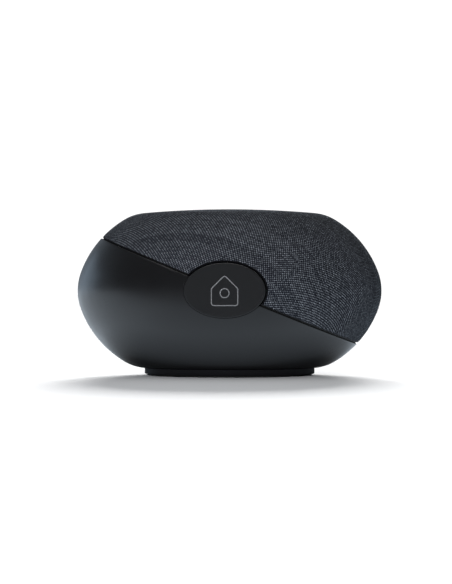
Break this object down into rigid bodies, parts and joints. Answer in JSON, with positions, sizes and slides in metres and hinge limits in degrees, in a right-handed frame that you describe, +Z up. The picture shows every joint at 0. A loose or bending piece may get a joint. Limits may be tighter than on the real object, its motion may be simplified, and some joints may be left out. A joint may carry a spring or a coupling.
{
  "type": "smart home hub",
  "caption": "Squashed round home hub: slanting seam between a moulded lower shell and a cloth grille, oval press key in front, recessed ports at the back, round plinth.",
  "frame": {"origin": "middle of the foot pad's underside, on the surface that the hub stands on", "axes": "+Z up, +X to the right seen from the front, +Y to the back; the oval key faces -Y and the ports face +Y"},
  "size_m": [0.17, 0.1676, 0.0927],
  "materials": {
    "shell_plastic": "satin moulded, near black",
    "grille_fabric": "charcoal melange plain weave",
    "frame_plastic": "plain moulded",
    "gasket_foam": "closed-cell foam",
    "pad_rubber": "matt rubber",
    "plinth_plastic": "fine texture",
    "key_plastic": "smooth satin",
    "silicone": "translucent silicone",
    "screw_steel": "zinc plated",
    "board_laminate": "green solder mask",
    "ribbon_film": "polyimide film",
    "tin_plate": "tin plated",
    "heat_aluminium": "extruded",
    "socket_plastic": "moulded",
    "lead_socket_plastic": "natural nylon",
    "cell_sleeve": "shrink sleeve",
    "speaker_steel": "plated steel",
    "ferrite": "sintered",
    "cone_pulp": "pressed pulp",
    "surround_rubber": "soft rubber",
    "spider_cloth": "phenolic cloth",
    "coil_copper": "enamelled wire"
  },
  "bodies": {
    "root": {"lower_shell": "shell_plastic", "grille_cloth": "grille_fabric", "grille_frame": "frame_plastic", "seam_gasket": "gasket_foam", "base_plinth": "plinth_plastic", "foot_pad": "pad_rubber", "plinth_screws": "screw_steel", "baffle_screws": "screw_steel", "board_screws": "screw_steel", "housing_screws": "screw_steel", "panel_screws": "screw_steel", "speaker_screws": "screw_steel", "key_housing": "frame_plastic", "key_mat": "silicone", "key_switch_board": "board_laminate", "key_ribbon": "ribbon_film", "port_panel": "plinth_plastic", "pair_switch": "socket_plastic", "ethernet_jack": "tin_plate", "power_jack": "socket_plastic", "main_board": "board_laminate", "shield_can": "tin_plate", "heat_spreader": "heat_aluminium", "radio_module": "tin_plate", "antennas": "board_laminate", "lead_sockets": "lead_socket_plastic", "battery_cells": "cell_sleeve", "battery_holder": "frame_plastic", "battery_strap": "frame_plastic", "baffle": "frame_plastic", "speaker_basket": "speaker_steel", "speaker_gasket": "gasket_foam", "top_plate": "speaker_steel", "magnet": "ferrite", "yoke": "speaker_steel", "surround": "surround_rubber", "spider": "spider_cloth"},
    "front_key": {"front_key": "key_plastic"},
    "pair_button": {"pair_button": "key_plastic"},
    "diaphragm": {"speaker_cone": "cone_pulp", "dust_cap": "cone_pulp", "voice_coil": "coil_copper"}
  },
  "joints": [
    {"name": "key_press", "type": "slide", "parent": "root", "child": "front_key", "axis": [0, 1, 0], "range_m": [0, 0.0008], "stiffness_N_per_m": 600, "deforming": ["key_mat"]},
    {"name": "pair_press", "type": "slide", "parent": "root", "child": "pair_button", "axis": [0, -1, 0], "range_m": [0, 0.0005], "stiffness_N_per_m": 400},
    {"name": "cone_stroke", "type": "slide", "parent": "root", "child": "diaphragm", "axis": [0.3827, 0, 0.9239], "range_m": [-0.0015, 0.0015], "stiffness_N_per_m": 1500, "deforming": ["surround", "spider"]}
  ]
}
